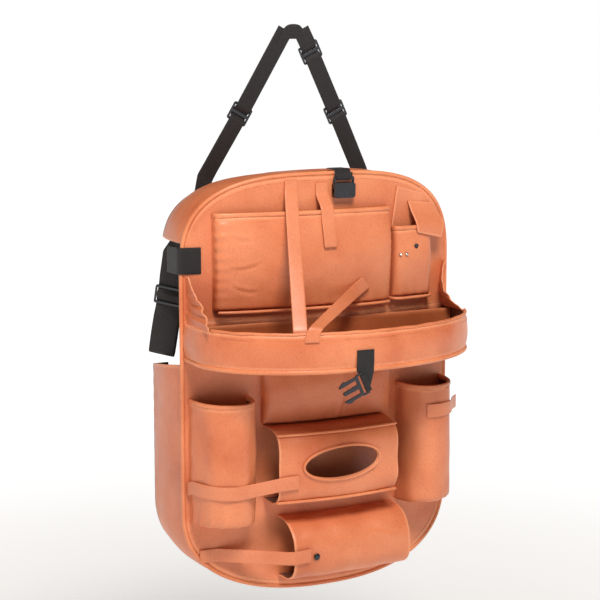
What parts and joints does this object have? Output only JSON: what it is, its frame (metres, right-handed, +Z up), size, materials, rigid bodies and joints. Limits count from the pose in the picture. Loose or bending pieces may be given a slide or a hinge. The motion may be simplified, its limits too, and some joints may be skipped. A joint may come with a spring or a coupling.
{
  "type": "car seat back organizer",
  "caption": "Leather car seat back organizer that hangs by webbing straps, with a D-shaped tray, tablet, phone and bottle pockets, a tissue sleeve and a buckle.",
  "frame": {"origin": "middle of the flat rear face of the lower hem, at the bottom of the body, where it meets the seat", "axes": "+Z up along the body, -Y out of the pockets' side, +X to the right seen from the front"},
  "size_m": [0.4762, 0.3031, 0.8287],
  "materials": {
    "leather": "satin",
    "leather_edge": "satin",
    "webbing": "woven",
    "black_plastic": "satin",
    "lining": "nonwoven",
    "board": "matt",
    "rivet_metal": "polished"
  },
  "bodies": {
    "root": {"upper_front_panel": "leather", "lower_front_panel": "leather", "upper_gusset": "leather", "lower_gusset": "leather", "tablet_pocket": "leather", "phone_pocket": "leather", "flat_pocket": "leather", "left_bottle_pocket": "leather", "right_bottle_pocket": "leather", "tissue_sleeve": "leather", "umbrella_sleeve": "leather", "tray_rim": "leather", "tray_floor": "leather", "tray_back_wall": "leather", "left_tray_gusset": "leather", "right_tray_gusset": "leather", "left_tray_stay": "leather", "right_tray_stay": "leather", "tablet_pocket_tab": "leather", "left_bottle_band": "leather", "right_bottle_band": "leather", "umbrella_band": "leather", "phone_pocket_flap": "leather", "edge_piping": "leather_edge", "tablet_pocket_binding": "leather_edge", "phone_pocket_binding": "leather_edge", "left_bottle_pocket_binding": "leather_edge", "right_bottle_pocket_binding": "leather_edge", "tissue_opening_piping": "leather_edge", "tray_piping": "leather_edge", "tray_rim_binding": "leather_edge", "tablet_pocket_foot_piping": "leather_edge", "phone_pocket_foot_piping": "leather_edge", "tissue_sleeve_top_piping": "leather_edge", "tissue_sleeve_foot_piping": "leather_edge", "upper_back_hem": "webbing", "lower_back_hem": "webbing", "hanging_strap": "webbing", "left_side_strap": "webbing", "right_side_strap": "webbing", "left_side_tab": "webbing", "top_buckle_webbing": "webbing", "tray_buckle_webbing": "webbing", "left_strap_slider": "black_plastic", "right_strap_slider": "black_plastic", "top_strap_slider": "black_plastic", "left_side_strap_slider": "black_plastic", "right_side_strap_slider": "black_plastic", "top_buckle_socket": "black_plastic", "tray_buckle_plug": "black_plastic", "umbrella_sleeve_snap": "black_plastic", "phone_pocket_snap": "black_plastic", "back_lining": "lining", "stiffener_board": "board", "phone_pocket_rivet_left": "rivet_metal", "phone_pocket_rivet_right": "rivet_metal"}
  },
  "joints": []
}
